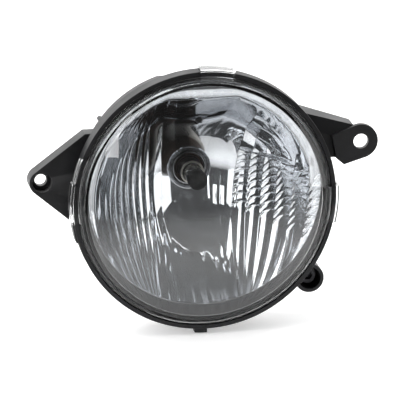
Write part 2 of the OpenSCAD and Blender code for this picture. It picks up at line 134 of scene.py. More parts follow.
def soften(node, name, body, edge_mm, material, clamped=False, up_to=None):
    """A copy of a CAD node whose flat faces are whole again and whose sharp edges are rounded by edge_mm. It
    ends in a flat face at depth up_to where that is given."""
    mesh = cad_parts[node].data.copy()
    mesh.name = name
    shell = bmesh.new()
    shell.from_mesh(mesh)
    bmesh.ops.remove_doubles(shell, verts=shell.verts, dist=SAME_POINT * MM)
    bmesh.ops.dissolve_limit(shell, angle_limit=FLAT, verts=shell.verts, edges=shell.edges)
    if up_to is not None:
        everything = shell.verts[:] + shell.edges[:] + shell.faces[:]
        ends = bmesh.ops.bisect_plane(
            shell, geom=everything, plane_co=(0, up_to * MM, 0), plane_no=(0, 1, 0), clear_outer=True)
        rim = [part for part in ends["geom_cut"] if isinstance(part, bmesh.types.BMEdge)]
        bmesh.ops.contextual_create(shell, geom=rim)
        bmesh.ops.recalc_face_normals(shell, faces=shell.faces)
    shell.to_mesh(mesh)
    shell.free()
    mesh.materials.clear()
    mesh.materials.append(material)
    mesh.shade_smooth()
    mesh.set_sharp_from_angle(angle=CREASE)
    piece = bpy.data.objects.new(name, mesh)
    bpy.context.scene.collection.objects.link(piece)
    rounding = piece.modifiers.new("rounded edges", "BEVEL")
    rounding.width = edge_mm * MM
    rounding.segments = 2
    rounding.limit_method = "ANGLE"
    rounding.angle_limit = CREASE
    rounding.use_clamp_overlap = clamped
    rounding.harden_normals = True
    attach(piece, body)
    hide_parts(node)
    return piece


# The pits that spark erosion leaves make its highlights dull and wide
housing_black = moulded_black(
    "Glass-filled nylon, injection moulded, spark-eroded grain", ("#0e0e10", "#161618"), (0.4, 0.52))
housing = soften("housing", "housing_moulding", "lamp", HOUSING_EDGE, housing_black)


# ---------------------------------------------------------------- reflector
# The reflector is a moulded bowl, vacuum coated with aluminium: the CAD bowl with its collar,
# flange and posts. Its bright face is cut into upright flutes that fan out from the bottom
# middle. It is a paraboloid with the bulb's filament at its focus.
BULB_Z = 6.0
VERTEX_Y = 58.6
FOCAL_L = 24.0
FACE_LIFT = 0.16
EDGE_R = 73.5
NARROWEST = 40 ** 0.5
LEFT_FLUTES = 9
CENTRE_STRIPS = 5
RIGHT_FLUTES = 6
PANEL = LEFT_FLUTES + 2
FIRST_RIGHT = LEFT_FLUTES + CENTRE_STRIPS


def build(name, points_mm, faces, material, crease=CREASE):
    """A mesh object from rows of points in millimetres and rows of corner numbers, smooth but for its
    creases."""
    mesh = bpy.data.meshes.new(name)
    mesh.from_pydata((np.asarray(points_mm, float) * MM).tolist(), [], [list(f) for f in faces])
    mesh.update()
    mesh.shade_smooth()
    mesh.set_sharp_from_angle(angle=crease)
    mesh.materials.append(material)
    piece = bpy.data.objects.new(name, mesh)
    bpy.context.scene.collection.objects.link(piece)
    return piece


def quads(rows, columns, wrap_rows=False, wrap_columns=False):
    """Corner numbers of the quads of a grid stored row by row. A wrapped side joins the last line to the
    first."""
    i = np.arange(rows if wrap_rows else rows - 1)[:, None]
    j = np.arange(columns if wrap_columns else columns - 1)[None, :]
    below, right = (i + 1) % rows, (j + 1) % columns
    corners = [i * columns + j, i * columns + right, below * columns + right, below * columns + j]
    return np.stack([np.broadcast_to(c, (i.size, j.size)) for c in corners], -1).reshape(-1, 4)


def flute_lines(z):
    """Where the face's upright lines cross height z, from left to right. The six lines in the middle are the
    sums of powers of z written here. The flutes of each side share what is left up to the face's round edge,
    which stands straight at the right above the axis, so those flutes fan out."""
    below = np.minimum(z, 0)
    above = np.maximum(z, 0)
    left_edge = -np.sqrt(np.maximum(EDGE_R ** 2 - z ** 2, NARROWEST ** 2))
    right_edge = np.sqrt(np.maximum(EDGE_R ** 2 - below ** 2, NARROWEST ** 2))
    left_inner = -17.7 - 0.00097 * (z - 8) ** 2
    left_outer = left_inner - 9.0 - 0.04 * below
    panel_left = -7.7 + 0.12 * below - 0.0019 * below ** 2 - 0.0022 * above ** 2
    panel_right = 9.2 + 2.2e-5 * np.abs(below) ** 3 + 0.0064 * above ** 2
    narrow_right = 19.5 + 0.09 * below + 0.16 * above + 0.0006 * z ** 2
    right_inner = 27.2 + 0.135 * z + 0.0006 * z ** 2
    middle = [left_outer, left_inner, panel_left, panel_right, narrow_right, right_inner]
    left = [left_outer + (left_edge - left_outer) * k / LEFT_FLUTES for k in range(LEFT_FLUTES, 0, -1)]
    right = [right_inner + (right_edge - right_inner) * k / RIGHT_FLUTES for k in range(1, RIGHT_FLUTES + 1)]
    return np.stack(left + middle + right, -1)


# Rows of points lie closer where the cords are. Within a strip, at share u of its width, the columns
# crowd towards its two ridges: u = (1 - cos(pi k / n)) / 2.
ROW, FINE_ROW, UPPER_ROWS = 0.7, 0.32, 74
FINE_FROM, FINE_TO = -22.0, 22.0
ACROSS, PANEL_ACROSS = 15, 32
row_z = np.concatenate([
    np.arange(-EDGE_R, FINE_FROM, ROW), np.arange(FINE_FROM, FINE_TO, FINE_ROW),
    np.linspace(FINE_TO, EDGE_R, UPPER_ROWS),
])
strip = np.arange(FIRST_RIGHT + RIGHT_FLUTES)
columns = np.where(strip == PANEL, PANEL_ACROSS, ACROSS)
which = np.repeat(strip, columns)
first = np.repeat(np.cumsum(columns) - columns, columns)
k_of_n = (np.arange(columns.sum()) - first) / columns[which]
u = np.append((1 - np.cos(np.pi * k_of_n)) / 2, 1.0)
which = np.append(which, strip[-1])
lines = flute_lines(row_z)
width = lines[:, which + 1] - lines[:, which]
face_x = lines[:, which] + width * u
face_z = np.broadcast_to(row_z[:, None], face_x.shape)

# The face ends on a circle. Points past it are drawn in to it along their own direction.
reach = np.hypot(face_x, face_z)
outside = reach > EDGE_R
pull = np.where(outside, EDGE_R / np.maximum(reach, 1), 1.0)
face_x = face_x * pull
face_z = face_z * pull
reach = np.hypot(face_x, face_z)

# Each strip is a hollow flute: its floor is an arc, and its ridges are rounded over their last 12%.
# Its depth is a share of its width. The flutes at the upper right are nearly flat.
RIDGE = 0.88
DEPTH_SHARE = np.array(
    [0.085] * LEFT_FLUTES + [0.04, 0.02, 0.004, 0.02, 0.03] + [0.095] * RIGHT_FLUTES)
FLATTER_FROM, FLATTER_OVER, FLATTER_BY = 18.0, 6.0, 0.75
off_middle = np.abs(2 * u - 1)
hollow = off_middle ** 2 - np.maximum(off_middle - RIDGE, 0) ** 2 / (1 - RIDGE)
on_right = which >= FIRST_RIGHT
upper_right = on_right * np.clip((face_z - FLATTER_FROM) / FLATTER_OVER, 0, 1)
cut = DEPTH_SHARE[which] * width * hollow * (1 - FLATTER_BY * upper_right)

# The flutes on the right carry thin raised cords below a line that falls to the right. Each cord is
# a quarter arch that is steeper further out, and its height is H e^(-(distance / HALF)^2).
FALLS_FROM_X, FALLS_FROM_Z, FALL = 28.0, 18.5, 0.13
CORD_EVERY, CORD_COUNT = 5.2, 7
CORD_H, CORD_HALF = 0.42, 0.5
ARCH_RISE, ARCH_GROWS = 4.0, 0.2
outwards = face_x - FALLS_FROM_X
break_z = FALLS_FROM_Z - FALL * outwards
arch_rise = ARCH_RISE + ARCH_GROWS * outwards
arch = (break_z - face_z - arch_rise * (1 - u) ** 2) / CORD_EVERY
steep = 2 * arch_rise * (1 - u) / np.maximum(width, 1)
from_cord = np.abs(arch - np.round(arch)) * CORD_EVERY / np.sqrt(1 + steep ** 2)
has_cords = on_right * (arch > -0.5) * (arch < CORD_COUNT - 0.5)
cords = has_cords * CORD_H * np.exp(-(from_cord / CORD_HALF) ** 2)

# Above that line they are folded into flat slanting facets, which rise over RISING of their length
# and fall over the rest, and are half a length out of step from one flute to the next.
FACET_L, FACET_H, RISING = 18.0, 2.4, 0.55
FACET_SLANT, FACET_FADE = 0.5, 3.0
FACETS_END_R, END_FADE = 60.0, 6.0
phase = ((face_z - break_z + FACET_SLANT * outwards) / FACET_L + 0.5 * which) % 1.0
rise_and_fall = np.minimum(phase / RISING, (1 - phase) / (1 - RISING))
starting = np.clip((face_z - break_z) / FACET_FADE, 0, 1)
ending = np.clip((FACETS_END_R - reach) / END_FADE, 0, 1)
facets = on_right * starting * ending * FACET_H * rise_and_fall

# The foot of the centre panel is pressed into upright folds, a sine that leans over as it comes down
FOLD_L, FOLD_H, FOLD_LEAN = 6.5, 0.22, 9.0
FOLDS_FROM, FOLD_FADE = -42.0, 8.0
foot = (which == PANEL) * np.clip((FOLDS_FROM - face_z) / FOLD_FADE, 0, 1)
folds = foot * FOLD_H * (1 + np.sin(2 * np.pi * face_x / FOLD_L + face_z / FOLD_LEAN))

# Near its edge and under its flat roof the bowl steepens to a wall, then turns out to the flange by a
# brim. s log(1 + e^(a/s)) is a where a is above 0, and 0 below, rounded over s. The bowl meets them in
# a soft corner: -k log(e^(-a/k) + e^(-b/k)) is the lesser of a and b, rounded over about k. At the
# bottom the bowl ends on the flange itself.
BRIM_R, ROOF_Z, BRIM_Y, BRIM_STEEP, BRIM_INSIDE = 68.1, 64.4, 5.6, 0.361, -2.0
WALL_END, WALL_STEEP, WALL_SOFT = -0.9, 1.72, 0.8
CORNER = 1.2
FLANGE_Y = 3.5
bowl_y = VERTEX_Y - (face_x ** 2 + (face_z - BULB_Z) ** 2) / (4 * FOCAL_L)
past_brim = np.maximum(reach - BRIM_R, face_z - ROOF_Z)
brim_y = BRIM_Y - BRIM_STEEP * np.maximum(past_brim, BRIM_INSIDE)
wall_y = brim_y + WALL_STEEP * WALL_SOFT * np.logaddexp(0, (WALL_END - past_brim) / WALL_SOFT)
face_y = -CORNER * np.logaddexp(-bowl_y / CORNER, -wall_y / CORNER)
face_y = np.maximum(face_y, FLANGE_Y) - (FACE_LIFT + cut + cords + facets + folds)

# The sheet leaves out the bulb's hole and the peg's hole, whose edge points are drawn onto its circle
PEG_X, PEG_Z, PEG_R = 4.4, 39.0, 2.5
BORE_UNDER_COLLAR = 12.0
from_peg = np.hypot(face_x - PEG_X, face_z - PEG_Z)
in_peg = from_peg < PEG_R
outward = PEG_R / np.maximum(from_peg, 0.01)
face_x = np.where(in_peg, PEG_X + (face_x - PEG_X) * outward, face_x)
face_z = np.where(in_peg, PEG_Z + (face_z - PEG_Z) * outward, face_z)
face_points = np.stack([face_x, face_y, face_z], -1).reshape(-1, 3)
face_quads = quads(*face_x.shape)
off_axis = np.hypot(face_x, face_z - BULB_Z).ravel()
dropped = np.all((outside | in_peg).ravel()[face_quads], axis=1)
dropped |= np.any(off_axis[face_quads] < BORE_UNDER_COLLAR, axis=1)
used, renumbered = np.unique(face_quads[~dropped], return_inverse=True)

# The coating is a mirror with faint orange peel. Past 72.2 mm from the bulb's axis the face and flange are
# dark grey, rougher and not metallic.
FLANGE_FROM, DARK_EDGE = 72.2, 0.5
aluminised, tree, surface, place = bare("Aluminium, vacuum coated on a moulded bowl")
sides = add(tree, "SeparateXYZ", {0: place})
height = add(tree, "Math", {0: sides.outputs["Z"], 1: BULB_Z * MM}, operation="SUBTRACT")
from_axis = add(tree, "CombineXYZ", {"X": sides.outputs["X"], "Z": height.outputs[0]})
away = add(tree, "VectorMath", {0: from_axis.outputs[0]}, operation="LENGTH")
metal_share = add(tree, "MapRange", {
    "Value": away.outputs["Value"], "From Min": FLANGE_FROM * MM, "From Max": (FLANGE_FROM + DARK_EDGE) * MM,
    "To Min": 1.0, "To Max": 0.0}).outputs["Result"]
bright = add(tree, "Mix", {
    0: patches(tree, place, 12, 0, 1), 6: linear("#c4c6ca"), 7: linear("#d0d2d5")}, data_type="RGBA")
shown = add(tree, "Mix", {0: metal_share, 6: linear("#242528"), 7: bright.outputs[2]}, data_type="RGBA")
rough = add(tree, "Mix", {0: metal_share, 2: 0.4, 3: patches(tree, place, 6, 0.03, 0.07)}, data_type="FLOAT")
tree.links.new(shown.outputs[2], surface.inputs["Base Color"])
tree.links.new(metal_share, surface.inputs["Metallic"])
tree.links.new(rough.outputs[0], surface.inputs["Roughness"])
emboss(tree, surface, place, 5, 0.006, 0.5)
FACE_CREASE = math.radians(14)
face = build("reflector_face", face_points[used], renumbered.reshape(-1, 4), aluminised, FACE_CREASE)
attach(face, "lamp")


def coat(node, material):
    """Gives a CAD node that keeps its shape its finish."""
    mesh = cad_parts[node].data
    mesh.materials.clear()
    mesh.materials.append(material)
    mesh.shade_smooth()
    mesh.set_sharp_from_angle(angle=CREASE)


coat("reflector", aluminised)


COINCIDENT = 0.001


def close_up(piece):
    """Merges points that coincide, such as those on a lathe's axis, and turns every face outwards."""
    shell = bmesh.new()
    shell.from_mesh(piece.data)
    bmesh.ops.remove_doubles(shell, verts=shell.verts, dist=COINCIDENT * MM)
    bmesh.ops.recalc_face_normals(shell, faces=shell.faces)
    shell.to_mesh(piece.data)
    shell.free()


def lathe(name, profile, material, centre=(0, 0), turns=96, closed=True, crease=CREASE):
    """Turns a profile of (radius, depth) about a line along Y through centre (x, z): each point goes to
    (x + r cos a, depth, z + r sin a). A closed profile makes a ring. An open one starts and ends on the
    line."""
    profile = np.asarray(profile, float)
    a = np.arange(turns) * 2 * np.pi / turns
    r, depth = profile[:, 0][:, None], profile[:, 1][:, None]
    points = np.stack([centre[0] + r * np.cos(a), depth + 0 * a, centre[1] + r * np.sin(a)], -1)
    faces = quads(len(profile), turns, wrap_rows=closed, wrap_columns=True)
    piece = build(name, points.reshape(-1, 3), faces, material, crease)
    close_up(piece)
    piece.data.set_sharp_from_angle(angle=crease)
    return piece


# A rolled ring round the bulb's hole: half a turn of an ellipse. The coating is thin there, so it is
# greyer and less sharp than the bowl.
COLLAR_IN, COLLAR_OUT, COLLAR_Y, COLLAR_H = 9.9, 13.45, 56.7, 1.0
round_over = np.linspace(0, np.pi, 24)
collar_r = (COLLAR_IN + COLLAR_OUT) / 2 - (COLLAR_OUT - COLLAR_IN) / 2 * np.cos(round_over)
collar_y = COLLAR_Y - COLLAR_H * np.sin(round_over)
rolled = finish(
    "Aluminium coating, worn thin on a rolled edge", ("#55565a", "#707276"), 3, (0.12, 0.22), 2,
    Metallic=1.0)
collar = lathe("reflector_collar", np.stack([collar_r, collar_y], -1), rolled, (0, BULB_Z))
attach(collar, "lamp")


# ---------------------------------------------------------------- reflector screws
# Three pan-head steel screws, zinc plated, which pull the bowl's posts against the rear plate.
# The passivated zinc has a faint yellow cast and fine crystals that break up its shine.
zinc = finish(
    "Steel, zinc plated and passivated", ("#8d8f92", "#b9b7ae"), 2, (0.25, 0.45), 1.5, (0.6, 0.01, 0.5),
    Metallic=1.0)
screws = soften("reflector_screws", "reflector_screw_set", "lamp", 0.2, zinc)


# ---------------------------------------------------------------- bulb
# A halogen bulb with a moulded base that locks by a quarter turn. The glass tube is clamped in a
# steel sleeve, its tip is dipped in matt black, and a coil of tungsten hangs between two wires.
GLASS_R, GLASS_WALL = 5.9, 1.0
GLASS_TIP = 24.9
TIP_ROUND = 2.2
CLAMP_FRONT = 45.0
SEAT_Y = 58.3


def round_corners(corners, radius, steps=4, closed=True):
    """Each corner C gives the curve (1-t)^2 A + 2t(1-t) C + t^2 B, where A and B lie radius away from it
    along its two sides, or 45% of a shorter side. An open profile keeps its two ends."""
    corners = np.asarray(corners, float)
    before = np.roll(corners, 1, 0) - corners
    after = np.roll(corners, -1, 0) - corners
    back = np.linalg.norm(before, axis=1, keepdims=True)
    ahead = np.linalg.norm(after, axis=1, keepdims=True)
    a = corners + before / back * np.minimum(radius, 0.45 * back)
    b = corners + after / ahead * np.minimum(radius, 0.45 * ahead)
    t = np.linspace(0, 1, steps)[None, :, None]
    curve = (1 - t) ** 2 * a[:, None] + 2 * t * (1 - t) * corners[:, None] + t ** 2 * b[:, None]
    if closed:
        return curve.reshape(-1, 2)
    return np.concatenate([corners[:1], curve[1:-1].reshape(-1, 2), corners[-1:]])


def domed_end(radius, front):
    """A quarter of an ellipse from the axis at depth front out to this radius, TIP_ROUND further back."""
    a = np.linspace(0, np.pi / 2, 12)
    return np.stack([radius * np.sin(a), front + TIP_ROUND - TIP_ROUND * np.cos(a)], -1)


# Drawn quartz is clear with a faint waviness. The tube's bore is a second skin, turned inside out.
quartz, tree, surface, place = bare(
    "Quartz glass, drawn tube", Base_Color=linear("#fdfdfb"), IOR=1.46, Transmission_Weight=1.0)
tree.links.new(patches(tree, place, 3, 0.0, 0.03), surface.inputs["Roughness"])
emboss(tree, surface, place, 4, 0.01, 0.5)
BORE_R = GLASS_R - GLASS_WALL
glass_tip = domed_end(GLASS_R, GLASS_TIP)
outer_skin = np.concatenate([glass_tip, [
    [GLASS_R, CLAMP_FRONT + 1], [GLASS_R - 0.8, CLAMP_FRONT + 3],
    [3.2, CLAMP_FRONT + 5], [0, CLAMP_FRONT + 5],
]])
inner_skin = np.concatenate([domed_end(BORE_R, GLASS_TIP + 2.0), [
    [BORE_R, CLAMP_FRONT - 1], [3, CLAMP_FRONT + 1], [0, CLAMP_FRONT + 1],
]])
glass = lathe("bulb_tube", outer_skin, quartz, (0, BULB_Z), closed=False)
bore = lathe("bulb_tube_bore", inner_skin, quartz, (0, BULB_Z), closed=False)
bore.data.flip_normals()
joined = bmesh.new()
joined.from_mesh(glass.data)
joined.from_mesh(bore.data)
joined.to_mesh(glass.data)
joined.free()
bpy.data.objects.remove(bore)
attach(glass, "bulb")
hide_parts("bulb_glass")

# Fired paint is matt and a little lumpy, so the tip shows no highlight
CAP_T, CAP_L = 0.25, 5.8
cap_black = finish(
    "Ceramic paint, dipped and fired", ("#101011", "#19191a"), 1.5, (0.55, 0.75), 2, (0.5, 0.03, 0.8),
    IOR=1.5)
swing = np.linspace(0, np.pi / 2, 12)
cap_outside = glass_tip + CAP_T * np.stack([np.sin(swing), -np.cos(swing)], -1)
cap_edge = [[GLASS_R + CAP_T, GLASS_TIP + CAP_L - 0.2], [GLASS_R + 0.02, GLASS_TIP + CAP_L]]
cap_profile = np.concatenate([cap_outside, cap_edge, glass_tip[::-1]])
cap = lathe("bulb_black_tip", cap_profile, cap_black, (0, BULB_Z), closed=False)
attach(cap, "bulb")
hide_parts("bulb_black_cap")


def capped(rows, columns):
    """Faces of a tube stored ring by ring: its quads, and a flat face on each end."""
    first = list(range(columns))
    last = list(range((rows - 1) * columns, rows * columns))
    return quads(rows, columns, wrap_columns=True).tolist() + [first, last[::-1]]


def tube_along(name, path, radius, material, sides=12):
    """A round tube: at each path point P the ring P + r (n cos a + m sin a), where n and m are square to the
    path, and a flat face on each end."""
    path = np.asarray(path, float)
    along = np.gradient(path, axis=0)
    along /= np.linalg.norm(along, axis=1, keepdims=True)
    guide = np.array([0.31, 0.12, 0.94])
    n = np.cross(along, guide)
    n /= np.linalg.norm(n, axis=1, keepdims=True)
    m = np.cross(along, n)
    a = np.arange(sides) * 2 * np.pi / sides
    ring = np.cos(a)[None, :, None] * n[:, None] + np.sin(a)[None, :, None] * m[:, None]
    points = (path[:, None] + radius * ring).reshape(-1, 3)
    piece = build(name, points, capped(len(path), sides), material)
    close_up(piece)
    return piece


# The coil is a helix about the bulb's axis. Drawn tungsten is grey and only half bright.
FILAMENT_Y, FILAMENT_L, FILAMENT_R = 34.6, 5.0, 0.75
COILS = 11
COIL_WIRE_R = 0.13
tungsten = finish("Tungsten, drawn and coiled", ("#7f7c78", "#a8a49c"), 0.5, (0.3, 0.5), 0.5, Metallic=1.0)
spin = np.linspace(0, COILS * 2 * np.pi, COILS * 16)
coil_r = FILAMENT_R - COIL_WIRE_R
coil_from = FILAMENT_Y - FILAMENT_L / 2 + COIL_WIRE_R
coil_path = np.stack([
    coil_r * np.cos(spin),
    coil_from + (FILAMENT_L - 2 * COIL_WIRE_R) * spin / spin[-1],
    BULB_Z + coil_r * np.sin(spin),
], -1)
coil = tube_along("bulb_coil", coil_path, COIL_WIRE_R, tungsten, 6)
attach(coil, "bulb")
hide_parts("bulb_filament")

# Drawn wire is smooth and brighter than the coil
WIRE_R, WIRE_X, WIRE_BEND = 0.35, 3.0, 1.2
molybdenum = finish("Molybdenum wire, drawn", ("#a7a6a2", "#c4c2bc"), 1, (0.2, 0.32), 1, Metallic=1.0)


def lead(name, side, turn_y):
    """A wire that runs forward from the pinch at x = side, then turns in a quarter circle to the coil."""
    bend = np.linspace(0, np.pi / 2, 8)[1:]
    straight = np.linspace(CLAMP_FRONT + 4, turn_y + WIRE_BEND, 6)
    inward = side - np.sign(side) * WIRE_BEND * (1 - np.cos(bend))
    x = np.concatenate([np.full(6, side), inward, [0.0]])
    y = np.concatenate([straight, turn_y + WIRE_BEND - WIRE_BEND * np.sin(bend), [turn_y]])
    wire = tube_along(name, np.stack([x, y, np.full(len(x), BULB_Z)], -1), WIRE_R, molybdenum, 10)
    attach(wire, "bulb")
    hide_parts("bulb_lead_wires")


lead("bulb_lead_front", WIRE_X, FILAMENT_Y - FILAMENT_L / 2 - WIRE_R)
lead("bulb_lead_back", -WIRE_X, FILAMENT_Y + FILAMENT_L / 2 + WIRE_R)

# The glass bead lies across the bulb, so it is turned about Y and then laid along X
BEAD_Y, BEAD_R, BEAD_HALF = 42.0, 1.1, 4.0
bead_profile = round_corners(
    [[0, -BEAD_HALF], [BEAD_R, -BEAD_HALF], [BEAD_R, BEAD_HALF], [0, BEAD_HALF]], 0.8, 6, closed=False)
bead = lathe("bulb_bead", bead_profile, quartz, (0, 0), 32, closed=False)
turned = np.array([v.co for v in bead.data.vertices])
laid = np.stack([turned[:, 1], turned[:, 0] + BEAD_Y * MM, turned[:, 2] + BULB_Z * MM], -1)
bead.data.vertices.foreach_set("co", laid.ravel())
bead.data.flip_normals()
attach(bead, "bulb")
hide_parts("bulb_bridge")

# The steel parts are bright at the sleeve's mouth and painted dark brown behind it: painted shade of the
# hole they sit in
CLAMP_R, CLAMP_T, CLAMP_LIP = 7.32, 0.5, 1.2
RING_R = 8.95
steel_painted_shade, tree, surface, place = bare("Stainless steel, painted dark behind its mouth for shade", Metallic=1.0)
depth_along = add(tree, "SeparateXYZ", {0: place}).outputs["Y"]
# Past the mouth the colour turns from bright steel to dark brown: painted shade
painted_shade_depth = add(tree, "MapRange", {
    "Value": depth_along, "From Min": (CLAMP_FRONT + 0.3) * MM, "From Max": (CLAMP_FRONT + 2) * MM})
steel_colour_with_shade = add(tree, "Mix", {
    0: painted_shade_depth.outputs["Result"], 6: linear("#b4b1ab"), 7: linear("#2b221d")}, data_type="RGBA")
tree.links.new(steel_colour_with_shade.outputs[2], surface.inputs["Base Color"])
tree.links.new(patches(tree, place, 2, 0.25, 0.4), surface.inputs["Roughness"])
clamp_profile = round_corners([
    [CLAMP_R, CLAMP_FRONT], [CLAMP_R, SEAT_Y], [CLAMP_R - CLAMP_T, SEAT_Y],
    [CLAMP_R - CLAMP_T, CLAMP_FRONT + 0.4], [CLAMP_R - CLAMP_LIP, CLAMP_FRONT + 0.4],
    [CLAMP_R - CLAMP_LIP, CLAMP_FRONT],
], 0.3)
clamp = lathe("bulb_sleeve", clamp_profile, steel_painted_shade, (0, BULB_Z))
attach(clamp, "bulb")
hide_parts("bulb_clamp")
# The ring lies wholly behind the mouth, so its steel is all painted shade
ring_profile = round_corners([
    [CLAMP_R, SEAT_Y - 3.5], [CLAMP_R + 0.5, SEAT_Y - 3.5], [CLAMP_R + 0.5, SEAT_Y - 1],
    [RING_R, SEAT_Y - 1], [RING_R, SEAT_Y], [CLAMP_R, SEAT_Y],
], 0.25)
ring = lathe("bulb_ring", ring_profile, steel_painted_shade, (0, BULB_Z))
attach(ring, "bulb")
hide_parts("bulb_metal_ring")

# The base is a heat-proof plastic, brown-black and duller than the housing; its seal is soft and matt
base_brown = moulded_black("Polyphenylene sulphide, injection moulded", ("#1b1512", "#2a211c"), (0.35, 0.5))
base = soften("bulb_base", "bulb_plug", "bulb", 0.25, base_brown, clamped=True)
silicone = finish("Silicone rubber, moulded", ("#5a3a2c", "#6b4736"), 2, (0.45, 0.6), 1.5, IOR=1.42)
coat("bulb_o_ring", silicone)
coat("bulb_terminals", zinc)


# ---------------------------------------------------------------- lens
# The lens is clear polycarbonate, hard coated: a shallow dome with a shoulder, a leg that is
# glued into the rim's channel, and clips moulded on its edge that hook over the rim.
RIM_R = 82.0
SHOULDER_R, SHOULDER_Y = 75.4, -3.0
DOME_H = 9.0
LENS_T = 2.8
INNER_DOME_R = 70.0
LEG_IN, LEG_OUT, LEG_END = 77.2, 79.0, 6.0
SHELF_FRONT, SHELF_BACK = 0.6, 3.2
SHELF_FROM_R, STEP_R = 77.0, 74.6
SLOPE_END = (72.8, -0.73)
dome_r = (SHOULDER_R ** 2 + DOME_H ** 2) / (2 * DOME_H)
dome_middle = dome_r - DOME_H + SHOULDER_Y


def dome(radius, from_r, to_r):
    """Points of a circle of this radius about (0, dome_middle), from from_r to to_r off the axis."""
    off = np.linspace(from_r, to_r, 40)
    return np.stack([off, dome_middle - np.sqrt(radius ** 2 - off ** 2)], -1)


outer_dome = dome(dome_r, 0, SHOULDER_R - 3)
inner_dome = dome(dome_r - LENS_T, INNER_DOME_R, 0)
lens_edge = round_corners([
    outer_dome[-1], [SHOULDER_R, SHOULDER_Y], [SHELF_FROM_R, SHELF_FRONT], [LEG_OUT, SHELF_FRONT],
    [LEG_OUT, LEG_END], [LEG_IN, LEG_END], [LEG_IN, SHELF_BACK], [STEP_R, SHELF_BACK], SLOPE_END,
    inner_dome[0],
], 0.7, 5, closed=False)
lens_profile = np.concatenate([outer_dome[:-1], lens_edge, inner_dome[1:]])
# Hard coat flows out smooth, so only wide, faint waves are left in its shine
lens_clear, tree, surface, place = bare(
    "Polycarbonate, injection moulded and hard coated", Base_Color=linear("#fbfcfc"), IOR=1.5,
    Transmission_Weight=1.0)
tree.links.new(patches(tree, place, 8, 0.0, 0.02), surface.inputs["Roughness"])
emboss(tree, surface, place, 30, 0.02, 0.4)
lens = lathe("lens_moulding", lens_profile, lens_clear, turns=192, closed=False, crease=math.radians(50))
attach(lens, "lamp")
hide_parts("lens")

CLIP_IN, CLIP_NECK, CLIP_OUT = 77.6, 78.7, 84.0
CLIP_FRONT, CLIP_BACK = -1.4, 1.1
RIM_GAP = 0.15


def clip(name, from_deg, to_deg, depth):
    """A hook's profile of (radius, depth) carried round the rim from one angle to the other: each point goes
    to (r cos a, depth, r sin a), and the two ends are flat."""
    profile = round_corners([
        [CLIP_IN, CLIP_BACK], [CLIP_IN, CLIP_FRONT], [CLIP_OUT, CLIP_FRONT], [CLIP_OUT, depth],
        [RIM_R + RIM_GAP, depth], [RIM_R + RIM_GAP, -RIM_GAP], [CLIP_NECK, -RIM_GAP], [CLIP_NECK, CLIP_BACK],
    ], 0.6)
    a = np.radians(np.linspace(from_deg, to_deg, 24))[:, None]
    r, y = profile[:, 0][None], profile[:, 1][None]
    points = np.stack([r * np.cos(a), y + 0 * a, r * np.sin(a)], -1).reshape(-1, 3)
    piece = build(name, points, capped(len(a), len(profile)), lens_clear)
    close_up(piece)
    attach(piece, "lamp")
    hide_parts("lens")


clip("lens_clip_top", 77.4, 92.3, 8.0)
clip("lens_clip_right", -12.2, 4.1, 8.0)
clip("lens_clip_left", 169.8, 187.2, 8.0)
clip("lens_stop_left", 157.9, 169.4, 2.7)

# Adhesive that was squeezed out and cured is wavy and half matt
sealant = finish(
    "Silicone adhesive, cured in its channel", ("#1c1c1e", "#262628"), 3, (0.35, 0.55), 2, (2, 0.05, 0.6),
    IOR=1.42)
coat("lens_sealant", sealant)


# ---------------------------------------------------------------- vent
# A soft black cap pushed over the vent pipe, with a porous membrane welded on the pipe's end.
# The rubber is matt, and the membrane is white and dull like thin felt.
rubber = moulded_black("EPDM rubber, moulded", ("#171718", "#202022"), (0.55, 0.7))
vent = soften("vent_cap", "vent_hood", "lamp", 0.3, rubber)
membrane = finish("Expanded PTFE, welded film", ("#d2d2ce", "#e6e6e2"), 0.6, (0.6, 0.8), 0.8, IOR=1.35)
coat("vent_membrane", membrane)


# ---------------------------------------------------------------- aim adjuster
# A steel screw turns in a nylon bushing in the tower, held by a push-on ring. The nylon ball nut
# on its thread snaps into the car's bracket and moves as the screw turns.
AXIS_X, AXIS_Z = 70.2, -60.0
THREAD_FROM, THREAD_TO = 41.0, 88.9
THREAD_R, THREAD_DEPTH, THREAD_GAP = 3.0, 0.55, 0.02
PITCH = 1.5
CREST_CUT = 1.3
POINT_L, POINT_DEPTH = 1.5, 0.7
# Phosphate and oil leave steel nearly black, with a soft metal shine
phosphated = finish(
    "Steel, phosphated and oiled", ("#232325", "#363638"), 2, (0.24, 0.4), 1.5, Metallic=1.0)
screw = soften("adjuster_screw", "aim_screw_turned", "aim_screw", 0.2, phosphated, up_to=THREAD_FROM + 0.2)


def threaded_rod(name, material, sides=40, per_turn=8):
    """A screw thread about a line along Y: at depth y and angle a the radius is the thread's outer one, less
    its depth times a triangle wave of (y / pitch - a / 2 pi), cut flat at the crest. It narrows over its
    last POINT_L."""
    y = np.append(np.arange(THREAD_FROM, THREAD_TO, PITCH / per_turn), THREAD_TO)[:, None]
    a = (np.arange(sides) * 2 * np.pi / sides)[None, :]
    wave = np.abs(2 * ((y / PITCH - a / (2 * np.pi)) % 1.0) - 1)
    groove = THREAD_DEPTH * (1 - np.clip(wave * CREST_CUT, 0, 1))
    point = POINT_DEPTH * np.clip((y - THREAD_TO + POINT_L) / POINT_L, 0, 1)
    r = THREAD_R - THREAD_GAP - np.maximum(groove, point)
    points = np.stack([AXIS_X + r * np.cos(a), y + 0 * a, AXIS_Z + r * np.sin(a)], -1).reshape(-1, 3)
    rod = build(name, points, capped(len(y), sides), material)
    close_up(rod)
    return rod


thread = threaded_rod("aim_screw_thread", phosphated)
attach(thread, "aim_screw")
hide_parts("adjuster_screw")
# Unfilled nylon is cream, slightly uneven and waxy
nylon = finish(
    "Nylon 6, injection moulded", ("#aaa698", "#bcb8aa"), 4, (0.35, 0.5), 3, (0.6, 0.01, 0.5), IOR=1.53)
ball = soften("adjuster_ball_nut", "aim_ball_nut", "aim_nut", 0.2, nylon)
coat("adjuster_bushing", nylon)
coat("adjuster_retainer", zinc)


